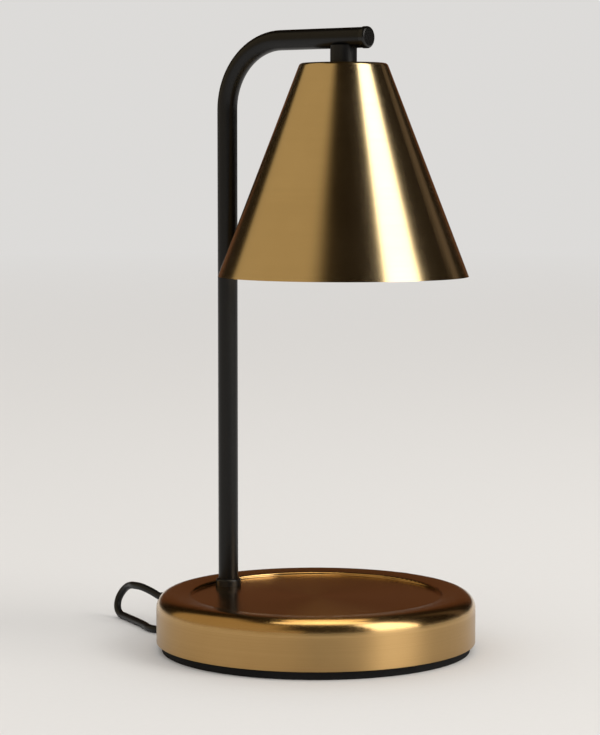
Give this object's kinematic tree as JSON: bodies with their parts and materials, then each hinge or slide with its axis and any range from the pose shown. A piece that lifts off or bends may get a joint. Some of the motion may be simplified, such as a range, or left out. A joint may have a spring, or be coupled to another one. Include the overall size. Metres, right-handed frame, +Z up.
{
  "type": "candle warmer lamp",
  "caption": "Candle warmer lamp: round weighted base with a candle tray, bent post, cone shade over a twist-lock bulb, and a lead with an in-line dimmer and a plug.",
  "frame": {"origin": "centre of the base's underside, on the surface that the lamp stands on", "axes": "+X from the post towards the shade, +Z up"},
  "size_m": [0.2049, 0.2303, 0.29],
  "materials": {
    "base_brass": "brushed antique brass, lacquered",
    "shade_brass": "brushed antique brass sheet, lacquered",
    "cast_iron": "rough grey cast iron",
    "zinc_steel": "zinc-plated steel",
    "pad_rubber": "black foam rubber",
    "black_plastic": "black moulded plastic",
    "wheel_plastic": "dark grey moulded plastic",
    "grey_plastic": "grey moulded plastic",
    "board_green": "green circuit board",
    "black_paint": "satin black paint",
    "lead_black": "black flexible PVC",
    "wire_sleeve": "pale woven glass sleeving",
    "ceramic": "pale steatite ceramic",
    "copper": "bare copper spring strip",
    "nickel": "nickel-plated brass",
    "reflector_glass": "glass bowl with a mirror coating",
    "clear_glass": "clear glass"
  },
  "bodies": {
    "lamp": {"base_cover": "base_brass", "base_weight": "cast_iron", "bottom_plate": "zinc_steel", "foot_pad": "pad_rubber", "bottom_screws": "zinc_steel", "post_nipple": "zinc_steel", "post_washer": "zinc_steel", "post_nut": "zinc_steel", "post_collar": "black_plastic", "cord_bushing": "lead_black", "post_arm": "black_paint", "arm_cap": "black_paint", "stem_sleeve": "black_paint", "stem_nipple": "zinc_steel", "inner_lead": "lead_black", "conductors": "wire_sleeve", "shade": "shade_brass", "shade_washer": "zinc_steel", "holder_bracket": "zinc_steel", "stem_nut": "zinc_steel", "lampholder": "ceramic", "holder_contacts": "copper", "holder_screws": "zinc_steel", "dimmer_lower_shell": "black_plastic", "dimmer_upper_shell": "black_plastic", "dimmer_board": "board_green", "dimmer_pot": "grey_plastic", "dimmer_screws": "zinc_steel", "lead_to_dimmer": "lead_black", "lead_to_coil": "lead_black", "lead_coil": "lead_black", "lead_to_plug": "lead_black", "plug_body": "lead_black", "plug_blades": "nickel"},
    "bulb": {"bulb_base": "ceramic", "bulb_pins": "nickel", "bulb_reflector": "reflector_glass", "bulb_lens": "clear_glass", "bulb_capsule": "clear_glass"},
    "wheel": {"dimmer_wheel": "wheel_plastic", "wheel_shaft": "nickel"}
  },
  "joints": [
    {"name": "bulb_twist", "type": "hinge", "parent": "lamp", "child": "bulb", "pos_m": [0.0155, 0, 0.247], "axis": [0, 0, 1], "range_deg": [-30, 0]},
    {"name": "dimmer_turn", "type": "hinge", "parent": "lamp", "child": "wheel", "pos_m": [-0.0451, 0.08589, 0.008], "axis": [0, 0, 1], "range_deg": [-270, 0]}
  ]
}
